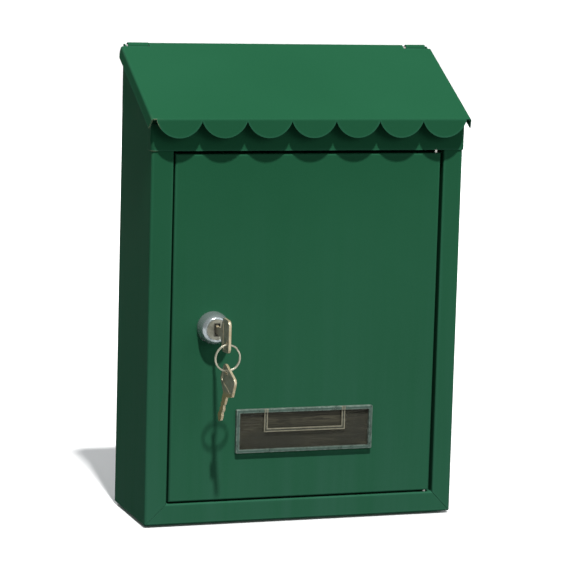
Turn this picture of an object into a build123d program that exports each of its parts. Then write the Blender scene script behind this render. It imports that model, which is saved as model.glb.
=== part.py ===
from build123d import *
import math
import os

os.makedirs("parts", exist_ok=True)

# Wall mounted mailbox of bent steel sheet. Millimetres.
# Everything is drawn with x to the right, y from the front plane (0) towards
# the wall (BODY_D) and z up from the underside (0), then moved so that the
# origin is the centre of the wall hole pattern on the back face.

# ------------------------------------------------------------ body sizes
BODY_W = 210.0          # across the side panels
BODY_D = 72.0           # front frame to wall face
SHEET = 0.8             # body, door and lid sheet
BACK_T = 1.1            # back plate sheet
BEND_R = 1.5            # outside bend radius of the body
STILE_L_X = -90.6       # inner edge of the left stile
STILE_R_X = 92.0        # inner edge of the right stile
RAIL_Z = 13.6           # top edge of the bottom rail
RETURN_D = 12.0         # depth of the turned-in frame edges
LIP_W = 3.6             # closing lip on the left stile's turned-in edge
STILE_TOP = 257.0
SEAM_W = 0.25           # mitre seam at the lower corners

# ------------------------------------------------------------ front band
BAND_Z0 = 240.4
BAND_Z1 = 263.0
BAND_T = 0.8
BAND_WRAP = 8.0         # how far the strip runs back along each side
BAND_WRAP_Z1 = 257.2

# ------------------------------------------------------------ hinge and lid
ROD_R = 1.4
HINGE_Y = 69.5
HINGE_Z = 301.5
KNUCKLE_R = ROD_R + BACK_T
KNUCKLE_IN = 89.4       # inner ends of the body knuckles
KNUCKLE_OUT = 103.0
LID_BORE_R = 1.47       # the lid's roll turns on the rod
LID_ROLL_R = LID_BORE_R + SHEET
LID_ROLL_HALF = 88.1
LID_SHIFT = -1.0        # the lid sits against the left knuckle
LID_HALF = 107.3        # half width at the side folds
LID_FRONT_Y = -9.5      # outer face of the scalloped edge
LID_FRONT_Z = 261.2     # top of the front fold
LID_SIDE_DROP = 7.0     # depth of the side flanges
LID_SIDE_FLARE = 8.0    # degrees
LID_SIDE_LEN = 84.9     # slope length at the ends, in front of the knuckles
LID_GAP = 0.35          # between the closed lid and the side panels
SCALLOPS = 7
SCALLOP_PITCH = 29.67
SCALLOP_DROP = 12.0     # below the top of the fold

# ------------------------------------------------------------ door
DOOR_X0 = -89.3
DOOR_X1 = 89.8
DOOR_Z0 = 14.8
DOOR_Z1 = 238.2
DOOR_Y = 0.2            # front face
DOOR_RETURN = 10.2      # rear edge of the folded edges
DOOR_EDGE_R = 1.3
PIVOT_X = 87.2
PIVOT_Y = 2.9
PIVOT_R = 1.25
PIVOT_BORE_R = 1.32
PIVOT_HEAD_R = 2.0

# ------------------------------------------------------------ lock
LOCK_X = -62.5
LOCK_Z = 127.6
BEZEL_R = 10.5
BEZEL_FACE_R = 8.5
BEZEL_OUT = 10.0        # face stands this far in front of the front plane
BARREL_R = 8.0
BARREL_END = 11.9
PLUG_R = 5.5
PLUG_BORE_R = 5.55
PLUG_HEAD_R = 6.6
CAM_T = 1.6
CAM_LEN = 31.0
CAM_HALF = 6.0
NUT_AF = 21.0

# ------------------------------------------------------------ keys
KEY_T = 1.6
KEY_BOW_HALF = 10.75
KEY_BOW_SHIFT = 0.6
KEY_BOW_LEN = 17.4
KEY_BLADE_HALF = 2.75
KEY_BLADE_LEN = 20.3
KEY_HOLE_S = 5.0
KEY_HOLE_W = 13.7
KEY_HOLE_R = 1.6
KEY_START = 19.3        # bow starts this far in front of the front plane
RING_R = 8.25
WIRE_R = 0.65
HANG = 0.8              # wire centre off the hole centre
SPARE_TILT = 26.8       # degrees, blade swung towards the door, at rest
RING_YAW = 5.0          # degrees, ring and spare key turned about the vertical

# ------------------------------------------------------------ name plate
PLATE_X = 0.8
PLATE_Z = 59.6
PLATE_W = 93.0
PLATE_H = 28.6
PLATE_T = 2.8
PLATE_RIM = 2.4
NOTCH_W = 55.3
NOTCH_H = 15.2
NOTCH_RIB = 2.4
CARD_T = 0.3

# ------------------------------------------------------------ wall holes
HOLE_X = 75.0
HOLE_Z0 = 60.0
HOLE_Z1 = 220.0
HOLE_R = 3.0

ORIGIN_Z = (HOLE_Z0 + HOLE_Z1) / 2


def box(x0, x1, y0, y1, z0, z1):
    return Pos((x0 + x1) / 2, (y0 + y1) / 2, (z0 + z1) / 2) * Box(x1 - x0, y1 - y0, z1 - z0)


def cyl_y(x, z, r, y0, y1):
    return Pos(x, (y0 + y1) / 2, z) * Rot(90, 0, 0) * Cylinder(r, y1 - y0)


def cyl_z(x, y, r, z0, z1):
    return Pos(x, y, (z0 + z1) / 2) * Cylinder(r, z1 - z0)


def cyl_x(y, z, r, x0, x1):
    return Pos((x0 + x1) / 2, y, z) * Rot(0, 90, 0) * Cylinder(r, x1 - x0)


def poly_yz(points, x0, x1):
    # closed outline in the y-z plane, extruded from x0 to x1
    face = make_face(Polyline(*[(x0, p[0], p[1]) for p in points], close=True))
    return extrude(face, amount=x1 - x0, dir=(1, 0, 0))


def poly_xz(points, y0, y1):
    face = make_face(Polyline(*[(p[0], y0, p[1]) for p in points], close=True))
    return extrude(face, amount=y1 - y0, dir=(0, 1, 0))


def near(edges, **want):
    # edges whose bounding box centre lies at the wanted coordinates
    out = []
    for e in edges:
        c = e.bounding_box().center()
        if all(abs(getattr(c, k.upper()) - v) < 0.02 for k, v in want.items()):
            out.append(e)
    return out


def save(node, shape):
    solids = [Pos(0, -BODY_D, -ORIGIN_Z) * s for s in shape.solids()]
    out = solids[0] if len(solids) == 1 else Compound(children=solids)
    export_step(out, "parts/" + node + ".step")
    print(node, len(solids), round(sum(s.volume for s in solids), 1))


W = BODY_W / 2
IN = W - SHEET

# ------------------------------------------------------------ lid slope
dy = HINGE_Y - LID_FRONT_Y
dz = HINGE_Z - LID_FRONT_Z
dist = math.hypot(dy, dz)
SLOPE = math.atan2(dz, dy) + math.asin(LID_ROLL_R / dist)
RUN = math.sqrt(dist ** 2 - LID_ROLL_R ** 2)
CS, SN = math.cos(SLOPE), math.sin(SLOPE)


def on_lid(u, v):
    # u up the slope from the front fold, v above the top surface
    return (LID_FRONT_Y + u * CS - v * SN, LID_FRONT_Z + u * SN + v * CS)


def under_lid(y, gap):
    # height of a line parallel to the closed lid, gap below its underside
    return LID_FRONT_Z + (y - LID_FRONT_Y) * SN / CS - (SHEET + gap) / CS


print("lid slope", round(math.degrees(SLOPE), 2), "run", round(RUN, 2))

# ------------------------------------------------------------ body shell
# one sheet: left side, underside and right side, with the front frame
# turned in along the sides and the bottom
outer = box(-W, W, 0, BODY_D, 0, 305)
outer = fillet(near(outer.edges(), x=-W, z=0) + near(outer.edges(), x=W, z=0), 1.1)
outer = fillet([e for e in outer.edges() if abs(e.center().Y) < 0.01 and e.center().Z < 200], BEND_R)
inner = box(-IN, IN, SHEET, BODY_D + 10, SHEET, 320)
inner = fillet(near(inner.edges(), x=-IN, y=SHEET) + near(inner.edges(), x=IN, y=SHEET), BEND_R - SHEET)
shell = outer - inner
shell -= box(STILE_L_X, STILE_R_X, -1, SHEET + 2, RAIL_Z, 330)
# turned-in edges of the frame
shell += box(STILE_L_X - SHEET, STILE_L_X, 0, RETURN_D, RAIL_Z - SHEET, STILE_TOP)
shell += box(STILE_R_X, STILE_R_X + SHEET, 0, RETURN_D, RAIL_Z - SHEET, STILE_TOP)
shell += box(STILE_L_X, STILE_R_X, 0, RETURN_D, RAIL_Z - SHEET, RAIL_Z)
# closing lip behind the free side of the door
shell += box(STILE_L_X, STILE_L_X + LIP_W, RETURN_D - SHEET, RETURN_D, RAIL_Z + 2, 238.0)
# sloping top
shell -= poly_yz([(-5, under_lid(-5, LID_GAP)), (HINGE_Y, under_lid(HINGE_Y, LID_GAP)),
                  (BODY_D + 5, under_lid(HINGE_Y, LID_GAP)), (BODY_D + 5, 340), (-5, 340)],
                 -W - 5, W + 5)
# the frame and its turned-in edges stop behind the band
shell -= box(-W + 2.6, STILE_R_X + 9.0, -1, RETURN_D + 1, STILE_TOP, 340)
shell -= box(STILE_R_X - 1, W - 2.6, -1, RETURN_D + 1, STILE_TOP, 340)
try:
    shell = fillet(near(shell.edges(), y=0, z=RAIL_Z)
                   + [e for e in shell.edges() if abs(e.center().Y) < 0.01
                      and (abs(e.center().X - STILE_L_X) < 0.01 or abs(e.center().X - STILE_R_X) < 0.01)],
                   0.9)
except Exception as err:
    print("frame edge fillet failed", err)
# mitre seams from the outer corners to the inner corners of the frame
for sx, edge in ((-1, STILE_L_X), (1, STILE_R_X)):
    p0 = (sx * (W - 1.2), 1.2)
    p1 = (edge - sx * 1.5, RAIL_Z + 1.5)
    ln = math.hypot(p1[0] - p0[0], p1[1] - p0[1])
    nx, nz = -(p1[1] - p0[1]) / ln * SEAM_W / 2, (p1[0] - p0[0]) / ln * SEAM_W / 2
    shell -= poly_xz([(p0[0] + nx, p0[1] + nz), (p1[0] + nx, p1[1] + nz),
                      (p1[0] - nx, p1[1] - nz), (p0[0] - nx, p0[1] - nz)], -1, 1.3)
# hole for the lower door pivot
shell -= cyl_z(PIVOT_X, PIVOT_Y, PIVOT_R, RAIL_Z - 3, RAIL_Z + 3)
save("body_shell", shell)

# ------------------------------------------------------------ back plate
back = box(-IN, IN, BODY_D - BACK_T, BODY_D, SHEET, HINGE_Z - LID_ROLL_R - 0.6)
back += box(-IN, -IN + BACK_T, BODY_D - 11, BODY_D, SHEET, 290)
back += box(IN - BACK_T, IN, BODY_D - 11, BODY_D, SHEET, 290)
back += box(-IN, IN, BODY_D - 11, BODY_D, SHEET, SHEET + BACK_T)
for sx in (-1, 1):
    x0, x1 = sorted((sx * KNUCKLE_IN, sx * KNUCKLE_OUT))
    back += box(x0, x1, BODY_D - BACK_T, BODY_D, HINGE_Z - 8, HINGE_Z)
    curl = cyl_x(HINGE_Y, HINGE_Z, KNUCKLE_R, x0, x1) - cyl_x(HINGE_Y, HINGE_Z, ROD_R, x0 - 1, x1 + 1)
    # open towards the front below the rod
    curl -= box(x0 - 1, x1 + 1, HINGE_Y - 5, BODY_D + 1, HINGE_Z - 6, HINGE_Z) \
        - box(x0 - 1, x1 + 1, HINGE_Y - 5, HINGE_Y - 0.55, HINGE_Z - 6, HINGE_Z)
    back += curl
for hx in (-HOLE_X, HOLE_X):
    for hz in (HOLE_Z0, HOLE_Z1):
        back -= cyl_y(hx, hz, HOLE_R, BODY_D - 5, BODY_D + 5)
# its corners follow the bends of the shell it sits in
back = back & inner
save("back_panel", back)

# ------------------------------------------------------------ hinge rod
save("lid_hinge_rod", cyl_x(HINGE_Y, HINGE_Z, ROD_R, -KNUCKLE_OUT, KNUCKLE_OUT))

# ------------------------------------------------------------ front band
bo = box(-W - BAND_T, W + BAND_T, -BAND_T, BAND_WRAP, BAND_Z0, BAND_Z1)
bo = fillet(near(bo.edges(), x=-W - BAND_T, y=-BAND_T) + near(bo.edges(), x=W + BAND_T, y=-BAND_T),
            BEND_R + BAND_T)
bi = box(-W, W, 0, BAND_WRAP + 5, BAND_Z0 - 5, BAND_Z1 + 5)
bi = fillet(near(bi.edges(), x=-W, y=0) + near(bi.edges(), x=W, y=0), BEND_R)
band = bo - bi
band -= box(-W - 5, -W + 4.0, -5, 20, BAND_WRAP_Z1, BAND_Z1 + 5)
band -= box(W - 4.0, W + 5, -5, 20, BAND_WRAP_Z1, BAND_Z1 + 5)
# lower edge turned in above the door, it carries the upper pivot
band += box(STILE_L_X + 0.1, STILE_R_X - 0.1, -BAND_T, RETURN_D, BAND_Z0, BAND_Z0 + SHEET)
# upper edge turned in
band += box(-100, 100, -BAND_T, 5.0, BAND_Z1 - SHEET, BAND_Z1)
try:
    band = fillet([e for e in band.edges() if abs(e.center().Y + BAND_T) < 0.01
                   and abs(e.center().Z - BAND_Z1) < 0.01 and e.length > 150], 0.7)
except Exception as err:
    print("band fillet failed", err)
band -= cyl_z(PIVOT_X, PIVOT_Y, PIVOT_R, BAND_Z0 - 3, BAND_Z0 + 3)
save("front_band", band)

# ------------------------------------------------------------ lid
# middle: scalloped edge, slope and the roll round the rod
def sheet_yz(outer_pts, x0, x1):
    return poly_yz(outer_pts, x0, x1)

half_mid = SCALLOPS * SCALLOP_PITCH / 2
zf = LID_FRONT_Z
yf = LID_FRONT_Y
top_t = on_lid(RUN, 0)
bot_t = on_lid(RUN, -SHEET)
# inside corner of the front fold: underside of the slope meets the back of the edge
yi = yf + SHEET
zi = LID_FRONT_Z + (yi - yf) * SN / CS - SHEET / CS
front_z0 = LID_FRONT_Z - SCALLOP_DROP
mid = poly_yz([(yf, front_z0 - 2), (yf, zf), top_t, bot_t, (yi, zi), (yi, front_z0 - 2)],
              -half_mid, half_mid)
mid = fillet([e for e in mid.edges() if abs(e.center().Y - yf) < 0.01 and abs(e.center().Z - zf) < 0.01], 1.6)
mid = fillet([e for e in mid.edges() if abs(e.center().Y - yi) < 0.01 and abs(e.center().Z - zi) < 0.01], 0.8)
# scallops: arcs of one radius between cusps close under the fold
cusp_z = LID_FRONT_Z - 1.4
low_z = LID_FRONT_Z - SCALLOP_DROP
h = cusp_z - low_z
R_S = ((SCALLOP_PITCH / 2) ** 2 + h ** 2) / (2 * h)
keep = box(-half_mid - 1, half_mid + 1, yf - 1, RUN + 5, cusp_z, 320)
keep = keep + box(-half_mid - 1, half_mid + 1, yi + 0.4, RUN + 5, 200, 320)
for i in range(SCALLOPS):
    cx = (i - (SCALLOPS - 1) / 2) * SCALLOP_PITCH
    keep = keep + cyl_y(cx, low_z + R_S, R_S, yf - 1, yi + 1)
mid = mid & keep
# stop short of the knuckles at the ends
mid -= box(LID_ROLL_HALF, 200, on_lid(LID_SIDE_LEN, 0)[0], 90, 250, 330)
mid -= box(-200, -LID_ROLL_HALF, on_lid(LID_SIDE_LEN, 0)[0], 90, 250, 330)

# sides: the slope at full width with the turned-down flanges
fl = math.radians(LID_SIDE_FLARE)
dx, dv = math.sin(fl) * LID_SIDE_DROP, math.cos(fl) * LID_SIDE_DROP
tx = SHEET * math.cos(fl)
sec = [(-LID_HALF - dx, -dv), (-LID_HALF, 0), (LID_HALF, 0), (LID_HALF + dx, -dv),
       (LID_HALF + dx - tx, -dv - SHEET * math.sin(fl) * -1),
       (LID_HALF - SHEET + 0.05, -SHEET), (-LID_HALF + SHEET - 0.05, -SHEET),
       (-LID_HALF - dx + tx, -dv - SHEET * math.sin(fl) * -1)]
prof = make_face(Polyline(*[(p[0], 0, p[1]) for p in sec], close=True))
side = extrude(prof, amount=LID_SIDE_LEN, dir=(0, 1, 0))
side = fillet([e for e in side.edges() if abs(abs(e.center().X) - LID_HALF) < 0.01
               and abs(e.center().Z) < 0.01], 1.4)
side = fillet([e for e in side.edges() if abs(abs(e.center().X) - (LID_HALF - SHEET + 0.05)) < 0.01
               and abs(e.center().Z + SHEET) < 0.01], 0.6)
# rounded rear ends of the flanges
round_cut = box(-200, 200, LID_SIDE_LEN - 6, LID_SIDE_LEN + 5, -20, -1.5)
round_cut -= Pos(0, LID_SIDE_LEN - 6, -1.5) * Rot(0, 90, 0) * Cylinder(6.0, 400)
side -= round_cut
# drop the strip where the front fold takes over
side -= box(-half_mid, half_mid, -5, 3.0, -20, 5)
side = Pos(0, yf, LID_FRONT_Z) * Rot(math.degrees(SLOPE), 0, 0) * side
# front corners: trimmed back level with the front fold
side -= box(-200, 200, -60, yf, 200, 330)
roll = cyl_x(HINGE_Y, HINGE_Z, LID_ROLL_R, -LID_ROLL_HALF, LID_ROLL_HALF) \
    - cyl_x(HINGE_Y, HINGE_Z, LID_BORE_R, -LID_ROLL_HALF - 1, LID_ROLL_HALF + 1)
# the roll starts on the slope and ends short of closing on itself
gap = poly_yz([(HINGE_Y, HINGE_Z), (HINGE_Y - 6 * math.cos(SLOPE - 0.30), HINGE_Z - 6 * math.sin(SLOPE - 0.30)),
               (HINGE_Y - 6 * SN - 1.0, HINGE_Z + 6 * CS)], -LID_ROLL_HALF - 1, LID_ROLL_HALF + 1)
roll -= gap
lid = mid + side + roll
# clear bore for the rod
lid -= cyl_x(HINGE_Y, HINGE_Z, LID_BORE_R, -LID_ROLL_HALF - 1, LID_ROLL_HALF + 1)
lid = Pos(LID_SHIFT, 0, 0) * lid
save("lid_panel", lid)

# ------------------------------------------------------------ door
do = box(DOOR_X0, DOOR_X1, DOOR_Y, DOOR_RETURN, DOOR_Z0, DOOR_Z1)
do = fillet([e for e in do.edges() if abs(e.center().Y - DOOR_Y) < 0.01], DOOR_EDGE_R)
di = box(DOOR_X0 + SHEET, DOOR_X1 - SHEET, DOOR_Y + SHEET, DOOR_RETURN + 5, DOOR_Z0 + SHEET, DOOR_Z1 - SHEET)
di = fillet([e for e in di.edges() if abs(e.center().Y - DOOR_Y - SHEET) < 0.01], DOOR_EDGE_R - SHEET)
door = do - di
door -= cyl_y(LOCK_X, LOCK_Z, BARREL_R, -5, 5)
door -= cyl_z(PIVOT_X, PIVOT_Y, PIVOT_BORE_R, DOOR_Z0 - 3, DOOR_Z0 + 3)
door -= cyl_z(PIVOT_X, PIVOT_Y, PIVOT_BORE_R, DOOR_Z1 - 3, DOOR_Z1 + 3)
# slots for the name plate's tabs
TAB_X = PLATE_W / 2 - 1.2
for sx in (-1, 1):
    door -= box(PLATE_X + sx * TAB_X - 0.7, PLATE_X + sx * TAB_X + 0.7, -5, 5, PLATE_Z - 2.5, PLATE_Z + 2.5)
save("door_panel", door)

# ------------------------------------------------------------ door pivots
top_pin = cyl_z(PIVOT_X, PIVOT_Y, PIVOT_R, DOOR_Z1 - 4.5, BAND_Z0 + SHEET)
top_pin += cyl_z(PIVOT_X, PIVOT_Y, PIVOT_HEAD_R, BAND_Z0 + SHEET, BAND_Z0 + SHEET + 1.3)
save("door_pivot_pin_top", top_pin)
low_pin = cyl_z(PIVOT_X, PIVOT_Y, PIVOT_R, RAIL_Z - SHEET, DOOR_Z0 + 4.5)
low_pin += cyl_z(PIVOT_X, PIVOT_Y, PIVOT_HEAD_R, RAIL_Z - SHEET - 1.3, RAIL_Z - SHEET)
save("door_pivot_pin_bottom", low_pin)


# ------------------------------------------------------------ lock
def turned(points):
    # outline given as (radius, y), turned about the lock's axis
    face = make_face(Polyline(*[(LOCK_X + p[0], p[1], LOCK_Z) for p in points], close=True))
    return revolve(face, axis=Axis((LOCK_X, 0, LOCK_Z), (0, 1, 0)))


housing = turned([(0, DOOR_Y), (0, -BEZEL_OUT), (BEZEL_FACE_R - 0.8, -BEZEL_OUT), (BEZEL_FACE_R, -BEZEL_OUT + 0.9),
                  (BEZEL_FACE_R + 0.75, -BEZEL_OUT + 2.0), (BEZEL_FACE_R + 1.25, -BEZEL_OUT + 3.6), (BEZEL_R - 0.35, -BEZEL_OUT + 5.8),
                  (BEZEL_R - 0.08, -2.2), (BEZEL_R, -1.2), (BEZEL_R, DOOR_Y)])
housing += cyl_y(LOCK_X, LOCK_Z, BARREL_R, DOOR_Y - 1, BARREL_END)
housing -= cyl_y(LOCK_X, LOCK_Z, PLUG_BORE_R, -30, 30)
housing -= cyl_y(LOCK_X, LOCK_Z, PLUG_HEAD_R + 0.05, -30, -BEZEL_OUT + 2.4)
save("lock_housing", housing)

washer_y0 = DOOR_Y + SHEET
washer = cyl_y(LOCK_X, LOCK_Z, 11.0, washer_y0, washer_y0 + 0.8) - cyl_y(LOCK_X, LOCK_Z, BARREL_R, -5, 10)
save("lock_washer", washer)

nut = extrude(Plane(origin=(LOCK_X, washer_y0 + 0.8, LOCK_Z), x_dir=(1, 0, 0), z_dir=(0, 1, 0))
              * RegularPolygon(NUT_AF / 2, 6, major_radius=False), amount=3.6)
nut -= cyl_y(LOCK_X, LOCK_Z, BARREL_R, -5, 15)
save("lock_nut", nut)

plug = cyl_y(LOCK_X, LOCK_Z, PLUG_HEAD_R, -BEZEL_OUT + 0.3, -BEZEL_OUT + 2.3)
plug += cyl_y(LOCK_X, LOCK_Z, PLUG_R, -BEZEL_OUT + 0.3, BARREL_END + 0.1)
TAIL_Y0 = BARREL_END + 0.1
STOP_T = 0.8
TAIL_Y1 = TAIL_Y0 + STOP_T + CAM_T
plug += box(LOCK_X - 3.5, LOCK_X + 3.5, TAIL_Y0 - 1, TAIL_Y1, LOCK_Z - 3.5, LOCK_Z + 3.5)
plug -= box(LOCK_X - 0.9, LOCK_X + 0.9, -30, 3.0, LOCK_Z - 2.95, LOCK_Z + 2.95)
plug -= box(LOCK_X - 1.8, LOCK_X + 1.8, -30, -BEZEL_OUT + 1.3, LOCK_Z - 3.8, LOCK_Z + 3.8)
plug -= cyl_y(LOCK_X, LOCK_Z, 2.0, 6.0, 30)
WAFER_Y = [-6.4, -4.2, -2.0, 0.2]
for wy in WAFER_Y:
    plug -= box(LOCK_X - 3.05, LOCK_X + 3.05, wy - 0.5, wy + 0.5, LOCK_Z - 6, LOCK_Z + 6)
save("lock_plug", plug)

wafers = None
for wy in WAFER_Y:
    w = box(LOCK_X - 3.0, LOCK_X + 3.0, wy - 0.45, wy + 0.45, LOCK_Z - 4.55, LOCK_Z + 4.55)
    w -= box(LOCK_X - 1.15, LOCK_X + 1.15, wy - 1, wy + 1, LOCK_Z - 3.1, LOCK_Z + 3.1)
    wafers = w if wafers is None else wafers + w
save("plug_wafers", wafers)

stop = cyl_y(LOCK_X, LOCK_Z, 7.4, TAIL_Y0, TAIL_Y0 + STOP_T)
stop += box(LOCK_X + 3, LOCK_X + 9.0, TAIL_Y0, TAIL_Y0 + STOP_T, LOCK_Z - 2.0, LOCK_Z + 2.0)
stop -= box(LOCK_X - 3.5, LOCK_X + 3.5, -5, 30, LOCK_Z - 3.5, LOCK_Z + 3.5)
save("lock_stop_washer", stop)

cam_y0 = TAIL_Y0 + STOP_T
cam = box(LOCK_X - CAM_HALF, LOCK_X + CAM_HALF, cam_y0, cam_y0 + CAM_T, LOCK_Z - CAM_LEN + CAM_HALF, LOCK_Z)
cam += cyl_y(LOCK_X, LOCK_Z, 8.0, cam_y0, cam_y0 + CAM_T)
cam += cyl_y(LOCK_X, LOCK_Z - CAM_LEN + CAM_HALF, CAM_HALF, cam_y0, cam_y0 + CAM_T)
cam -= box(LOCK_X - 3.5, LOCK_X + 3.5, -5, 30, LOCK_Z - 3.5, LOCK_Z + 3.5)
save("lock_cam", cam)

cw = cyl_y(LOCK_X, LOCK_Z, 5.6, cam_y0 + CAM_T, cam_y0 + CAM_T + 0.8) - cyl_y(LOCK_X, LOCK_Z, 2.0, 0, 30)
save("cam_screw_washer", cw)

sy = cam_y0 + CAM_T + 0.8
screw = cyl_y(LOCK_X, LOCK_Z, 3.7, sy, sy + 2.2) + cyl_y(LOCK_X, LOCK_Z, 2.0, 6.6, sy + 1)
screw = fillet([e for e in screw.edges() if abs(e.center().Y - sy - 2.2) < 0.01], 0.7)
screw -= box(LOCK_X - 2.6, LOCK_X + 2.6, sy + 1.1, sy + 3, LOCK_Z - 0.45, LOCK_Z + 0.45)
screw -= box(LOCK_X - 0.45, LOCK_X + 0.45, sy + 1.1, sy + 3, LOCK_Z - 2.6, LOCK_Z + 2.6)
save("cam_screw", screw)


# ------------------------------------------------------------ keys
def key_blank():
    # flat key, blade along -w from w = 0, bow along +w, thickness across x
    b, k, c = KEY_BOW_HALF, KEY_BLADE_HALF, KEY_BOW_SHIFT
    L = KEY_BOW_LEN
    pts = [(c - b, 5.2), (c - b + 0.5, L), (c + b - 0.5, L), (c + b, 5.2), (k, 0)]
    # cut edge of the blade
    n = -KEY_BLADE_LEN
    pts += [(k, -4.6), (k - 0.9, -6.0), (k - 0.9, -7.0), (k - 0.2, -8.2), (k - 1.2, -9.6), (k - 1.2, -10.6),
            (k - 0.4, -11.8), (k - 0.4, -12.4), (k - 1.0, -13.6), (k - 1.0, -14.4), (k - 0.1, -15.8), (k - 0.1, -17.6),
            (k - 2.6, n), (-k + 1.8, n), (-k, n + 2.0), (-k, -14.6), (-k + 0.8, -13.4),
            (-k + 0.8, -12.6), (-k, -11.2), (-k, -9.4), (-k + 0.9, -8.0), (-k + 0.9, -7.2), (-k, -5.8), (-k, 0)]
    face = make_face(Polyline(*[(0, p[0], p[1]) for p in pts], close=True))
    blank = Pos(-KEY_T / 2, 0, 0) * extrude(face, amount=KEY_T, dir=(1, 0, 0))
    corners = [e for e in blank.edges() if abs(e.length - KEY_T) < 0.01 and e.center().Z > L - 0.5]
    blank = fillet(corners, 3.2)
    low = [e for e in blank.edges() if abs(e.length - KEY_T) < 0.01 and abs(e.center().Z - 5.2) < 0.1]
    blank = fillet(low, 1.6)
    blank -= Pos(0, KEY_HOLE_S, KEY_HOLE_W) * Rot(0, 90, 0) * Cylinder(KEY_HOLE_R, 20)
    # shallow pressed panel on both faces of the bow
    for sx in (-1, 1):
        pan = box(sx * KEY_T / 2 - 0.18, sx * KEY_T / 2 + 0.18, c - b + 2.0, c + b - 2.0, 5.6, L - 1.8)
        pan = fillet([e for e in pan.edges() if abs(e.length - 0.36) < 0.01], 2.0)
        ring = Pos(0, KEY_HOLE_S, KEY_HOLE_W) * Rot(0, 90, 0) * Cylinder(KEY_HOLE_R + 0.9, 20)
        blank -= (pan - ring)
    return blank


blank = key_blank()
# inserted key: blade towards the wall, bow outwards, hole on the lower side
# (s -> -z, w -> -y)
key1 = Rot(90, 0, 0) * Rot(0, 0, 180) * blank
key1 = Pos(LOCK_X, -KEY_START, LOCK_Z) * key1
if key1.bounding_box().min.Y > -KEY_START - 1:
    print("KEY ORIENTATION WRONG")
hole1 = (-(KEY_START + KEY_HOLE_W), LOCK_Z - KEY_HOLE_S)
probe = [f for f in key1.faces() if abs(f.center().Y - hole1[0]) < 0.05 and abs(f.center().Z - hole1[1]) < 0.05]
print("inserted key hole found", len(probe), "at", hole1, "box", key1.bounding_box())
save("key_in_lock", key1)

ring_top = (hole1[0], hole1[1] - HANG)
ring_c = (ring_top[0], ring_top[1] - RING_R)
# the ring and the spare key hang a little turned about the vertical through the hole
ring = Pos(LOCK_X, ring_c[0], ring_c[1]) * Rot(0, 0, RING_YAW) * Rot(90, 0, 0) * Torus(RING_R, WIRE_R)
save("key_ring", ring)

hang = (ring_c[0], ring_c[1] - RING_R)          # wire centre at the bottom of the ring
# spare key: turned about x so that the blade swings towards the door
spare = Pos(0, -KEY_HOLE_S, -KEY_HOLE_W) * blank
g = spare.center(CenterOf.MASS)
print("spare key mass centre from its hole (s, w)", round(g.Y, 3), round(g.Z, 3),
      "hangs at", round(math.degrees(math.atan2(-g.Y, -g.Z)), 2))
spare = Pos(LOCK_X, hang[0], hang[1] - HANG) * Rot(0, 0, RING_YAW) * Rot(SPARE_TILT, 0, 0) * spare
g2 = spare.center(CenterOf.MASS)
print("spare key mass centre y", round(g2.Y, 3), "hang y", hang[0], "box", spare.bounding_box())
save("spare_key", spare)

# ------------------------------------------------------------ name plate
px0, px1 = PLATE_X - PLATE_W / 2, PLATE_X + PLATE_W / 2
pz0, pz1 = PLATE_Z - PLATE_H / 2, PLATE_Z + PLATE_H / 2
plate_y0 = DOOR_Y - PLATE_T
plate = box(px0, px1, plate_y0, DOOR_Y, pz0, pz1)
plate = fillet([e for e in plate.edges() if abs(e.length - PLATE_T) < 0.01], 0.8)
plate = fillet([e for e in plate.edges() if abs(e.center().Y - plate_y0) < 0.01], 0.5)
# sunk face inside the rim
plate -= box(px0 + PLATE_RIM, px1 - PLATE_RIM, plate_y0 - 1, plate_y0 + 1.4, pz0 + PLATE_RIM, pz1 - PLATE_RIM)
# pocket for the card
plate -= box(px0 + 1.6, px1 - 1.6, DOOR_Y - 0.7, DOOR_Y + 1, pz0 + 1.6, pz1 - 1.6)
# raised U rib round the finger notch
nx0, nx1 = PLATE_X - NOTCH_W / 2, PLATE_X + NOTCH_W / 2
nz = pz1 - NOTCH_H
rib = box(nx0, nx1, plate_y0 + 0.4, plate_y0 + 1.5, nz, pz1 - PLATE_RIM + 0.2)
rib -= box(nx0 + NOTCH_RIB, nx1 - NOTCH_RIB, plate_y0 - 1, plate_y0 + 5, nz + NOTCH_RIB, pz1)
plate += rib
# finger notch cut through the sunk face
plate -= box(nx0 + NOTCH_RIB, nx1 - NOTCH_RIB, plate_y0 - 1, DOOR_Y - 0.6, nz + NOTCH_RIB, pz1 - PLATE_RIM)
# tabs through the door
for sx in (-1, 1):
    plate += box(PLATE_X + sx * TAB_X - 0.5, PLATE_X + sx * TAB_X + 0.5, DOOR_Y - 0.5, DOOR_Y + SHEET + 1.2,
                 PLATE_Z - 2.2, PLATE_Z + 2.2)
save("nameplate_window", plate)

card = box(px0 + 1.9, px1 - 1.9, DOOR_Y - 0.65, DOOR_Y - 0.65 + CARD_T, pz0 + 1.9, pz1 - 1.9)
save("name_card", card)
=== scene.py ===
import math

import bmesh
import bpy
from mathutils import Matrix, Vector


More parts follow.
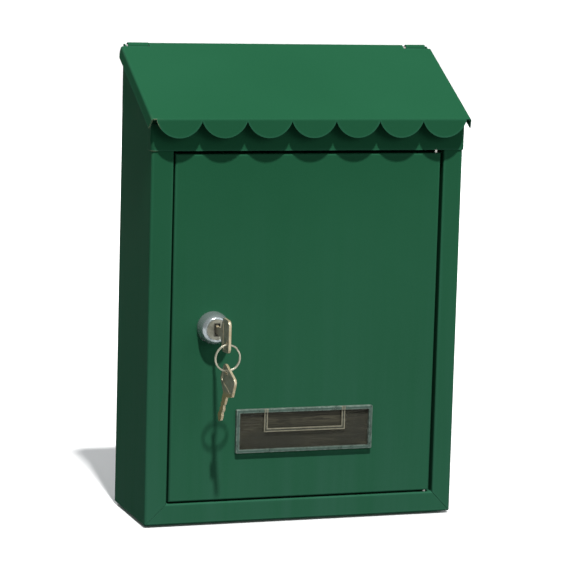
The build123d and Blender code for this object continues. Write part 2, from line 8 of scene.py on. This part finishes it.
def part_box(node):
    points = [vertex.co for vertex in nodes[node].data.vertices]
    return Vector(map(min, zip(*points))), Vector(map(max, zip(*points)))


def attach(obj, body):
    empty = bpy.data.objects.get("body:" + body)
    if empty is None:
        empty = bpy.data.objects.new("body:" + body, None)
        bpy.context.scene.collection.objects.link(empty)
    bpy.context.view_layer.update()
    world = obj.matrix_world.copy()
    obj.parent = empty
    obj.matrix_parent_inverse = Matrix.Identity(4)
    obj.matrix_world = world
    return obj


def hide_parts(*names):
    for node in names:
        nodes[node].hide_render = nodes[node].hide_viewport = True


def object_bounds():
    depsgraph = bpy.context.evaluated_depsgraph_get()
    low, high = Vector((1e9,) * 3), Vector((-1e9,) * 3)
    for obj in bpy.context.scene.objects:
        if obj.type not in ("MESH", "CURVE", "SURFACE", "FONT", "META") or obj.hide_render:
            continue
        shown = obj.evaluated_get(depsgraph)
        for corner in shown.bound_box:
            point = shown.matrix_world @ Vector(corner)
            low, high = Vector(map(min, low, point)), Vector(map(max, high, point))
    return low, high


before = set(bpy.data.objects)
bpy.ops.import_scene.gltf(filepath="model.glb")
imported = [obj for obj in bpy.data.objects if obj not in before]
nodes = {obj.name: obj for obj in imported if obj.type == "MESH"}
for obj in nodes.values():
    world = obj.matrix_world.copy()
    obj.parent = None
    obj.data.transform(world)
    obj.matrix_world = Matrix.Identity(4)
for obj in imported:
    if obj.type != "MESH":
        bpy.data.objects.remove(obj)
cad_lo, cad_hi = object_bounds()
scene = bpy.context.scene
scene.view_settings.view_transform = "Standard"
scene.view_settings.look = "None"

# ----------------------------------------------------------------------------------------------------------------
# camera: the photograph's viewing angle, from the left and a little above, with a long lens
# ----------------------------------------------------------------------------------------------------------------
cam_data = bpy.data.cameras.new("camera")
cam = bpy.data.objects.new("camera", cam_data)
scene.collection.objects.link(cam)
cam.matrix_world = Matrix((
    (0.946333, 0.020953, -0.322515, -0.570279),
    (-0.321979, 0.147581, -0.935173, -1.689222),
    (0.028002, 0.988828, 0.146407, 0.265087),
    (0.0, 0.0, 0.0, 1.0),
))
cam_data.sensor_width = 36.0
cam_data.lens = 168.62
cam_data.clip_start = 0.02
cam_data.clip_end = 200.0
scene.camera = cam

# ----------------------------------------------------------------------------------------------------------------
# materials
# ----------------------------------------------------------------------------------------------------------------


class Shader:
    """A small helper round one node tree: a Principled shader and short names for the nodes that feed it."""

    def __init__(self, name, **sockets):
        self.mat = bpy.data.materials.new(name)
        self.mat.use_nodes = True
        self.tree = self.mat.node_tree
        self.tree.nodes.clear()
        out = self.tree.nodes.new("ShaderNodeOutputMaterial")
        self.bsdf = self.tree.nodes.new("ShaderNodeBsdfPrincipled")
        self.link(self.bsdf.outputs[0], out.inputs[0])
        for k, v in sockets.items():
            self.bsdf.inputs[k.replace("_", " ")].default_value = v
        self.where = self.node("TexCoord").outputs["Object"]

    def node(self, kind, **props):
        n = self.tree.nodes.new("ShaderNode" + kind)
        for k, v in props.items():
            setattr(n, k, v)
        return n

    def link(self, a, b):
        self.tree.links.new(a, b)

    def scaled(self, x, y, z):
        m = self.node("Mapping")
        m.inputs["Scale"].default_value = (x, y, z)
        self.link(self.where, m.inputs["Vector"])
        return m.outputs[0]

    def noise(self, scale, detail=3.0, rough=0.55, vector=None, distort=0.0):
        n = self.node("TexNoise")
        n.inputs["Scale"].default_value = scale
        n.inputs["Detail"].default_value = detail
        n.inputs["Roughness"].default_value = rough
        n.inputs["Distortion"].default_value = distort
        self.link(self.where if vector is None else vector, n.inputs["Vector"])
        return n.outputs["Fac"]

    def ramp(self, source, stops):
        n = self.node("ValToRGB")
        e = n.color_ramp.elements
        while len(e) < len(stops):
            e.new(0.5)
        for spot, (pos, col) in zip(e, stops):
            spot.position = pos
            spot.color = (*col, 1) if not isinstance(col, float) else (col, col, col, 1)
        self.link(source, n.inputs[0])
        return n.outputs[0]

    def span(self, source, a, b, c, d):
        n = self.node("MapRange")
        for i, v in enumerate((a, b, c, d), 1):
            n.inputs[i].default_value = v
        self.link(source, n.inputs[0])
        return n.outputs[0]

    def math(self, op, a, b=None):
        n = self.node("Math", operation=op)
        for i, v in enumerate((a, b)):
            if v is None:
                continue
            if isinstance(v, (int, float)):
                n.inputs[i].default_value = v
            else:
                self.link(v, n.inputs[i])
        return n.outputs[0]

    def mix(self, fac, a, b, blend="MIX"):
        n = self.node("Mix", data_type="RGBA", blend_type=blend)
        for i, v in ((0, fac), (6, a), (7, b)):
            if isinstance(v, (int, float)):
                n.inputs[i].default_value = v
            elif isinstance(v, tuple):
                n.inputs[i].default_value = (*v, 1)
            else:
                self.link(v, n.inputs[i])
        return n.outputs[2]

    def near(self, point, reach):
        """1 at a point of the object, falling to 0 at its reach."""
        n = self.node("VectorMath", operation="DISTANCE")
        self.link(self.where, n.inputs[0])
        n.inputs[1].default_value = point
        return self.span(n.outputs["Value"], reach * 0.4, reach, 1.0, 0.0)

    def edges(self, radius, gain):
        """About 1 on outward edges of the piece, 0 on its flats."""
        bev = self.node("Bevel", samples=4)
        bev.inputs["Radius"].default_value = radius
        geo = self.node("NewGeometry")
        dot = self.node("VectorMath", operation="DOT_PRODUCT")
        self.link(bev.outputs[0], dot.inputs[0])
        self.link(geo.outputs["Normal"], dot.inputs[1])
        return self.math("MINIMUM", self.math("MULTIPLY", self.math("SUBTRACT", 1.0, dot.outputs["Value"]), gain), 1.0)

    def bump(self, height, strength, distance, normal=None):
        n = self.node("Bump")
        n.inputs["Strength"].default_value = strength
        n.inputs["Distance"].default_value = distance
        self.link(height, n.inputs["Height"])
        if normal is not None:
            self.link(normal, n.inputs["Normal"])
        return n.outputs[0]

    def feed(self, **sockets):
        for k, v in sockets.items():
            self.link(v, self.bsdf.inputs[k.replace("_", " ")])
        return self.mat


def green_paint():
    """Powder coat on sheet steel: deep green, semi-gloss, fine orange peel, a little dust low down, rubbed edges, and a
    painted highlight, lighter green, along the rounded bends and folds.
    """
    s = Shader("green_powder_coat", IOR=1.35)
    s.bsdf.inputs["Specular IOR Level"].default_value = 0.003
    broad = s.noise(9.0, 3.0, 0.5)
    grain = s.noise(1500.0, 2.0, 0.6)
    col = s.mix(s.span(broad, 0.3, 0.7, 0.0, 1.0), (0.0120, 0.0760, 0.0350), (0.0142, 0.0845, 0.0400))
    col = s.mix(s.span(grain, 0.3, 0.7, 0.0, 0.25), col, (0.019, 0.100, 0.050))
    # dust settles in the lower part and along faint downward runs
    z = s.node("SeparateXYZ")
    s.link(s.where, z.inputs[0])
    runs = s.noise(1.0, 4.0, 0.6, s.scaled(120.0, 120.0, 6.0))
    low = s.span(z.outputs[2], 0.10, -0.14, 0.0, 1.0)
    dust = s.math("MULTIPLY", s.math("MULTIPLY", low, s.span(runs, 0.25, 0.75, 0.35, 1.0)), 0.10)
    col = s.mix(dust, col, (0.12, 0.20, 0.22))
    worn = s.math("MULTIPLY", s.edges(0.0009, 3.0), s.span(s.noise(260.0, 4.0, 0.65), 0.40, 0.70, 0.05, 0.55))
    col = s.mix(worn, col, (0.050, 0.135, 0.080))
    # painted highlight: a lighter green along the rounded bends and folds, standing in for the key light catching them,
    # broken up by noise
    fold_painted_highlight = s.math("MULTIPLY", s.edges(0.0024, 2.4), s.span(s.noise(60.0, 3.0, 0.6), 0.3, 0.7, 0.35, 0.65))
    col = s.mix(fold_painted_highlight, col, (0.036, 0.142, 0.092))
    # chipped corners: the lid's left front fold and the left end of the band, down to pale primer
    spots = s.math("MAXIMUM", s.near((-0.1078, -0.0812, 0.1196), 0.0085), s.near((-0.1056, -0.0712, 0.1010), 0.0055))
    chips = s.math("MULTIPLY", s.math("MULTIPLY", spots, s.edges(0.0008, 4.0)), s.span(s.noise(900.0, 4.0, 0.7), 0.40, 0.56, 0.0, 1.0))
    col = s.mix(chips, col, (0.36, 0.33, 0.21))
    rough = s.math("ADD", s.span(broad, 0.3, 0.7, 0.44, 0.52), s.math("MULTIPLY", s.math("ADD", dust, worn), 0.6))
    peel = s.bump(s.noise(900.0, 2.0, 0.5), 0.16, 0.00012)
    peel = s.bump(s.noise(38.0, 2.0, 0.5), 0.25, 0.0004, peel)
    return s.feed(Base_Color=col, Roughness=rough, Normal=peel)


def metal(name, colour, other, rough, rough2, scratch=0.15, tint=None, edge=0.0005, grain=(900.0, 60.0, 900.0), dull=1.0):
    """Plated or bare metal: two tones under fine directional scratches, with brighter or brassy edges."""
    s = Shader(name, Metallic=dull)
    blot = s.noise(420.0, 4.0, 0.6)
    lines = s.noise(1.0, 3.0, 0.6, s.scaled(*grain))
    col = s.mix(s.span(blot, 0.35, 0.65, 0.0, 1.0), colour, other)
    if edge:
        rub = s.math("MULTIPLY", s.edges(edge, 3.0), 0.8)
        col = s.mix(rub, col, tint or tuple(min(1.0, c * 1.25) for c in colour))
    r = s.math("ADD", s.span(lines, 0.3, 0.7, rough, rough2), s.span(blot, 0.35, 0.65, -0.03, 0.05))
    return s.feed(Base_Color=col, Roughness=r, Normal=s.bump(lines, scratch, 0.00005))


def clear_plastic():
    """Clear moulded window: the sunk face is see-through, its rim and the rib round the notch are scuffed and pale, and
    the rim carries two painted highlight lines along its edges.
    """
    s = Shader("clear_window_plastic", IOR=1.46)
    s.bsdf.inputs["Specular IOR Level"].default_value = 0.15
    lo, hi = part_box("nameplate_window")
    cx, cz = (lo.x + hi.x) / 2, (lo.z + hi.z) / 2
    xyz = s.node("SeparateXYZ")
    s.link(s.where, xyz.inputs[0])
    out = s.math("ABSOLUTE", s.math("SUBTRACT", xyz.outputs[0], cx))
    dx = s.math("SUBTRACT", (hi.x - lo.x) / 2, out)
    dz = s.math("SUBTRACT", (hi.z - lo.z) / 2, s.math("ABSOLUTE", s.math("SUBTRACT", xyz.outputs[2], cz)))
    edge = s.math("MINIMUM", dx, dz)
    rim = s.span(edge, 0.00225, 0.00245, 1.0, 0.0)
    # the rib round the notch: a pale line along each of its two edges
    inside = s.math("MINIMUM", s.math("SUBTRACT", 0.02765, out), s.math("SUBTRACT", xyz.outputs[2], hi.z - 0.0152))
    front = s.span(xyz.outputs[1], lo.y + 0.00100, lo.y + 0.00085, 0.0, 1.0)
    on_rib = s.math("MULTIPLY", s.span(inside, -0.0001, 0.0, 0.0, 1.0), s.span(inside, 0.0025, 0.0026, 1.0, 0.0))
    lines = s.math("ADD", s.span(inside, 0.00065, 0.00095, 1.0, 0.0), s.span(inside, 0.00145, 0.00175, 0.0, 1.0))
    rib = s.math("MULTIPLY", s.math("MULTIPLY", front, on_rib), s.span(lines, 0.0, 1.0, 0.30, 1.0))
    scuff = s.noise(330.0, 4.0, 0.65)
    pale = s.math("MULTIPLY", s.math("MAXIMUM", rim, rib), s.span(scuff, 0.30, 0.60, 0.78, 1.0))
    haze = s.noise(240.0, 4.0, 0.6)
    col = s.mix(s.span(haze, 0.3, 0.7, 0.0, 1.0), (0.100, 0.105, 0.080), (0.060, 0.062, 0.048))
    # painted highlight: two brighter lines along the rim's outer and inner edges, broken up by the scuff noise
    glint = s.math("ADD", s.span(edge, 0.0004, 0.0008, 1.0, 0.0), s.span(edge, 0.0017, 0.0021, 0.0, 1.0))
    tone = s.mix(s.math("MULTIPLY", glint, s.span(scuff, 0.42, 0.58, 0.25, 1.0)), (0.062, 0.105, 0.088), (0.150, 0.200, 0.170))
    tone = s.mix(rib, tone, (0.215, 0.205, 0.150))
    col = s.mix(pale, col, tone)
    r = s.math("ADD", s.span(haze, 0.3, 0.7, 0.08, 0.14), s.math("MULTIPLY", pale, 0.22))
    solid = s.span(pale, 0.0, 1.0, 0.05, 0.92)
    return s.feed(Base_Color=col, Roughness=r, Alpha=solid, Normal=s.bump(s.noise(60.0, 2.0, 0.5), 0.12, 0.0002))


def card():
    """Blank card behind the window: dark, warm, with long wavy streaks, as of grained board."""
    s = Shader("blank_card", Roughness=0.6)
    s.bsdf.inputs["Specular IOR Level"].default_value = 0.2
    warp = s.noise(1.0, 3.0, 0.55, s.scaled(26.0, 40.0, 60.0))
    streak = s.noise(1.0, 5.0, 0.60, s.scaled(11.0, 40.0, 190.0), 2.6)
    fibre = s.noise(1.0, 3.0, 0.6, s.scaled(300.0, 500.0, 2600.0))
    dark = s.ramp(streak, [(0.34, (0.006, 0.006, 0.003)), (0.44, (0.036, 0.035, 0.022)), (0.50, (0.011, 0.011, 0.007)),
                           (0.58, (0.052, 0.049, 0.032)), (0.66, (0.014, 0.014, 0.009)), (0.80, (0.060, 0.057, 0.040))])
    col = s.mix(s.span(warp, 0.42, 0.60, 0.0, 0.75), dark, (0.013, 0.014, 0.010))
    col = s.mix(s.span(fibre, 0.35, 0.65, 0.0, 0.12), col, (0.050, 0.048, 0.033))
    return s.feed(Base_Color=col, Roughness=s.span(fibre, 0.3, 0.7, 0.5, 0.68), Normal=s.bump(fibre, 0.15, 0.00005))


def plug_metal():
    """The lock's turning plug: satin nickel with a turned grain, and painted shade, near black, in and round the
    keyway.
    """
    s = Shader("lock_satin_nickel", Metallic=0.7)
    lo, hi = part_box("lock_plug")
    xyz = s.node("SeparateXYZ")
    s.link(s.where, xyz.inputs[0])
    dx = s.math("SUBTRACT", xyz.outputs[0], (lo.x + hi.x) / 2)
    dz = s.math("SUBTRACT", xyz.outputs[2], (lo.z + hi.z) / 2)
    radius = s.math("SQRT", s.math("ADD", s.math("MULTIPLY", dx, dx), s.math("MULTIPLY", dz, dz)))
    rings = s.math("SINE", s.math("MULTIPLY", radius, 26000.0))
    blot = s.noise(420.0, 4.0, 0.6)
    col = s.mix(s.span(blot, 0.35, 0.65, 0.0, 1.0), (0.33, 0.33, 0.27), (0.22, 0.22, 0.175))
    # painted shade: the keyway and its mouth are darkened nearly to black, broken up by noise, as shade in the recess;
    # the same mask makes them a little rougher
    slot = s.math("MULTIPLY", s.span(s.math("ABSOLUTE", dx), 0.0019, 0.0025, 1.0, 0.0), s.span(s.math("ABSOLUTE", dz), 0.0040, 0.0047, 1.0, 0.0))
    keyway_painted_shade = s.math("MULTIPLY", slot, s.span(s.noise(700.0, 3.0, 0.6), 0.40, 0.60, 0.55, 1.0))
    col = s.mix(keyway_painted_shade, col, (0.012, 0.012, 0.009))
    r = s.math("ADD", s.span(blot, 0.3, 0.7, 0.30, 0.42), s.math("MULTIPLY", keyway_painted_shade, 0.25))
    return s.feed(Base_Color=col, Roughness=r, Normal=s.bump(rings, 0.10, 0.00003))


def key_metal():
    """Nickel-plated brass key: plate on its faces, bare brass where the outline was cut, worn and finely scratched."""
    s = Shader("worn_key_nickel", Metallic=0.45)
    blot = s.noise(300.0, 4.0, 0.6)
    lines = s.noise(1.0, 3.0, 0.6, s.scaled(800.0, 300.0, 800.0))
    plate = s.mix(s.span(blot, 0.35, 0.65, 0.0, 1.0), (0.290, 0.285, 0.215), (0.205, 0.195, 0.145))
    n = s.node("SeparateXYZ")
    s.link(s.node("TexCoord").outputs["Normal"], n.inputs[0])
    cut = s.span(s.math("ABSOLUTE", n.outputs[0]), 0.85, 0.60, 0.0, 1.0)
    brass = s.mix(s.span(blot, 0.35, 0.65, 0.0, 1.0), (0.52, 0.46, 0.32), (0.42, 0.34, 0.20))
    # the plating has worn through to the brass along the hanging key's blade
    z = s.node("SeparateXYZ")
    s.link(s.where, z.inputs[0])
    worn = s.math("MULTIPLY", s.span(z.outputs[2], -0.0470, -0.0500, 0.0, 1.0), s.span(blot, 0.35, 0.60, 0.55, 0.9))
    plate = s.mix(worn, plate, (0.36, 0.265, 0.115))
    col = s.mix(s.math("MULTIPLY", cut, 0.85), plate, brass)
    r = s.math("ADD", s.span(lines, 0.3, 0.7, 0.30, 0.44), s.span(blot, 0.35, 0.65, -0.03, 0.05))
    return s.feed(Base_Color=col, Roughness=r, Normal=s.bump(lines, 0.2, 0.00005))


MATS = {
    "green_paint": green_paint(),
    "zinc_steel": metal("zinc_plated_steel", (0.48, 0.465, 0.43), (0.39, 0.385, 0.36), 0.30, 0.42),
    "lock_chrome": metal("lock_chrome", (0.40, 0.45, 0.465), (0.37, 0.42, 0.43), 0.22, 0.25, 0.004, edge=None, dull=0.72),
    "lock_nickel": plug_metal(),
    "wafer_brass": metal("stamped_brass", (0.72, 0.52, 0.24), (0.60, 0.42, 0.20), 0.28, 0.40),
    "key_nickel": key_metal(),
    "ring_steel": metal("ring_spring_steel", (0.37, 0.36, 0.28), (0.30, 0.295, 0.225), 0.26, 0.38, 0.1, dull=0.75),
    "clear_plastic": clear_plastic(),
    "card": card(),
}

for name, o in nodes.items():
    for ms in o.material_slots:
        base = ms.material.name.split(".")[0]
        ms.material = MATS[base]

# sheet and turned edges are a little rounded, as pressed and painted metal is
SOFT_EDGES = {"body_shell": 0.00016, "back_panel": 0.00016, "front_band": 0.00018, "lid_panel": 0.00018, "door_panel": 0.00016,
              "lock_housing": 0.0002, "lock_plug": 0.00012, "key_in_lock": 0.00016, "spare_key": 0.00016, "lock_nut": 0.0002,
              "lock_cam": 0.0002, "lock_stop_washer": 0.0001, "nameplate_window": 0.00018, "lock_washer": 0.0001,
              "cam_screw_washer": 0.0001, "door_pivot_pin_top": 0.0002, "door_pivot_pin_bottom": 0.0002}
for name, width in SOFT_EDGES.items():
    o = nodes[name]
    w = o.modifiers.new("join", "WELD")
    w.merge_threshold = 1e-6
    b = o.modifiers.new("soft_edges", "BEVEL")
    b.width = width
    b.segments = 2
    b.limit_method = "ANGLE"
    b.angle_limit = math.radians(38)
    b.use_clamp_overlap = True
    b.harden_normals = False



def split_ring():
    """The key ring: one length of spring wire wound two turns, each turn lying on the other, with a step where it changes layer."""
    lo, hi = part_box("key_ring")
    mid = (lo + hi) / 2
    yaw = math.radians(5.0)
    out = Vector((math.cos(yaw), math.sin(yaw), 0))
    axis = Vector((-math.sin(yaw), math.cos(yaw), 0))
    up = Vector((0, 0, 1))
    big, flat, half, step = 0.00825, 0.00054, 0.00030, 0.00033
    zone, gap, turn0 = 0.22, 0.05, math.radians(25)
    n, m = 220, 14
    t0, t1 = zone + gap, 4 * math.pi - zone - gap
    bm = bmesh.new()
    rings = []
    for i in range(n + 1):
        t = t0 + (t1 - t0) * i / n
        w = min(1.0, max(0.0, (t - (2 * math.pi - zone)) / (2 * zone)))
        layer = (w * w * (3 - 2 * w) * 2 - 1) * step
        radial = out * math.cos(t + turn0) + up * math.sin(t + turn0)
        squeeze = 1.0
        ends = min(t - t0, t1 - t) * big
        if ends < flat:
            squeeze = max(0.25, math.sqrt(max(0.0, 1 - (1 - ends / flat) ** 2)))
        loop = []
        for k in range(m):
            a = 2 * math.pi * k / m
            # a rounded flat section, as drawn wire pressed between the turns
            ca, sa = math.cos(a), math.sin(a)
            sx = math.copysign(abs(ca) ** 0.7, ca) * flat * squeeze
            sy = math.copysign(abs(sa) ** 0.7, sa) * half * squeeze
            loop.append(bm.verts.new(mid + radial * (big + sx) + axis * (layer + sy)))
        rings.append(loop)
    for a, b in zip(rings, rings[1:]):
        for k in range(m):
            bm.faces.new((a[k], a[(k + 1) % m], b[(k + 1) % m], b[k]))
    bm.faces.new(list(reversed(rings[0])))
    bm.faces.new(rings[-1])
    bmesh.ops.recalc_face_normals(bm, faces=bm.faces)
    for f in bm.faces:
        f.smooth = True
    me = bpy.data.meshes.new("split_ring")
    bm.to_mesh(me)
    bm.free()
    me.materials.append(MATS["ring_steel"])
    o = bpy.data.objects.new("split_ring", me)
    scene.collection.objects.link(o)
    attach(o, "ring")
    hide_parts("key_ring")


split_ring()

# ----------------------------------------------------------------------------------------------------------------
# floor, light
# ----------------------------------------------------------------------------------------------------------------


def floor():
    me = bpy.data.meshes.new("floor")
    bm = bmesh.new()
    r = 30.0
    z = cad_lo.z - 0.0015
    bm.faces.new([bm.verts.new(p) for p in ((-r, -r, z), (r, -r, z), (r, r, z), (-r, r, z))])
    bm.to_mesh(me)
    bm.free()
    o = bpy.data.objects.new("floor", me)
    scene.collection.objects.link(o)
    s = Shader("pale_floor", Roughness=0.85)
    s.bsdf.inputs["Specular IOR Level"].default_value = 0.1
    s.feed(Base_Color=s.mix(s.span(s.noise(3.0), 0.3, 0.7, 0.0, 1.0), (0.745, 0.75, 0.76), (0.76, 0.765, 0.775)))
    me.materials.append(s.mat)
    # the studio floor is wide and white: its bounce is taken from the even sky light instead, so it doesn't wash out the sides
    o.visible_diffuse = False


def backdrop():
    """A plain white surround, seen behind the object in low views. It lights nothing."""
    me = bpy.data.meshes.new("backdrop")
    bm = bmesh.new()
    bmesh.ops.create_cone(bm, segments=64, radius1=9.0, radius2=9.0, depth=10.0, cap_ends=False)
    bm.to_mesh(me)
    bm.free()
    o = bpy.data.objects.new("backdrop", me)
    scene.collection.objects.link(o)
    s = Shader("white_surround", Roughness=1.0)
    s.bsdf.inputs["Base Color"].default_value = (0.0, 0.0, 0.0, 1)
    s.bsdf.inputs["Emission Color"].default_value = (1.0, 1.0, 1.0, 1)
    s.bsdf.inputs["Emission Strength"].default_value = 1.0
    me.materials.append(s.mat)
    o.visible_diffuse = False
    o.visible_glossy = False
    o.visible_shadow = False


def area(name, spot, at, size, power, colour=(1, 1, 1)):
    d = bpy.data.lights.new(name, "AREA")
    d.shape = "RECTANGLE"
    d.size, d.size_y = size
    d.energy = power
    d.color = colour
    o = bpy.data.objects.new(name, d)
    scene.collection.objects.link(o)
    o.location = spot
    o.rotation_mode = "QUATERNION"
    o.rotation_quaternion = (Vector(at) - Vector(spot)).to_track_quat("-Z", "Y")
    return o


def sun(name, direction, strength, angle, colour=(1, 1, 1)):
    d = bpy.data.lights.new(name, "SUN")
    d.energy = strength
    d.angle = math.radians(angle)
    d.color = colour
    o = bpy.data.objects.new(name, d)
    scene.collection.objects.link(o)
    o.rotation_mode = "QUATERNION"
    o.rotation_quaternion = Vector(direction).to_track_quat("-Z", "Y")
    return o


floor()
backdrop()
sun("key", (0.05, 0.503, -0.863), 4.5, 2.6, (1.0, 0.99, 0.97))
area("front_fill", (0.9, -2.4, 0.9), (0, 0, 0), (1.2, 1.2), 13.0)
area("back_fill", (0.0, 2.8, 1.0), (0, 0, 0), (1.6, 1.6), 55.0)
area("right_fill", (3.0, 0.25, 1.0), (0, 0, 0), (1.6, 1.6), 36.0)
world = bpy.data.worlds.new("studio")
world.use_nodes = True
world.node_tree.nodes["Background"].inputs[0].default_value = (0.95, 0.98, 1.0, 1)
world.node_tree.nodes["Background"].inputs[1].default_value = 0.27
scene.world = world
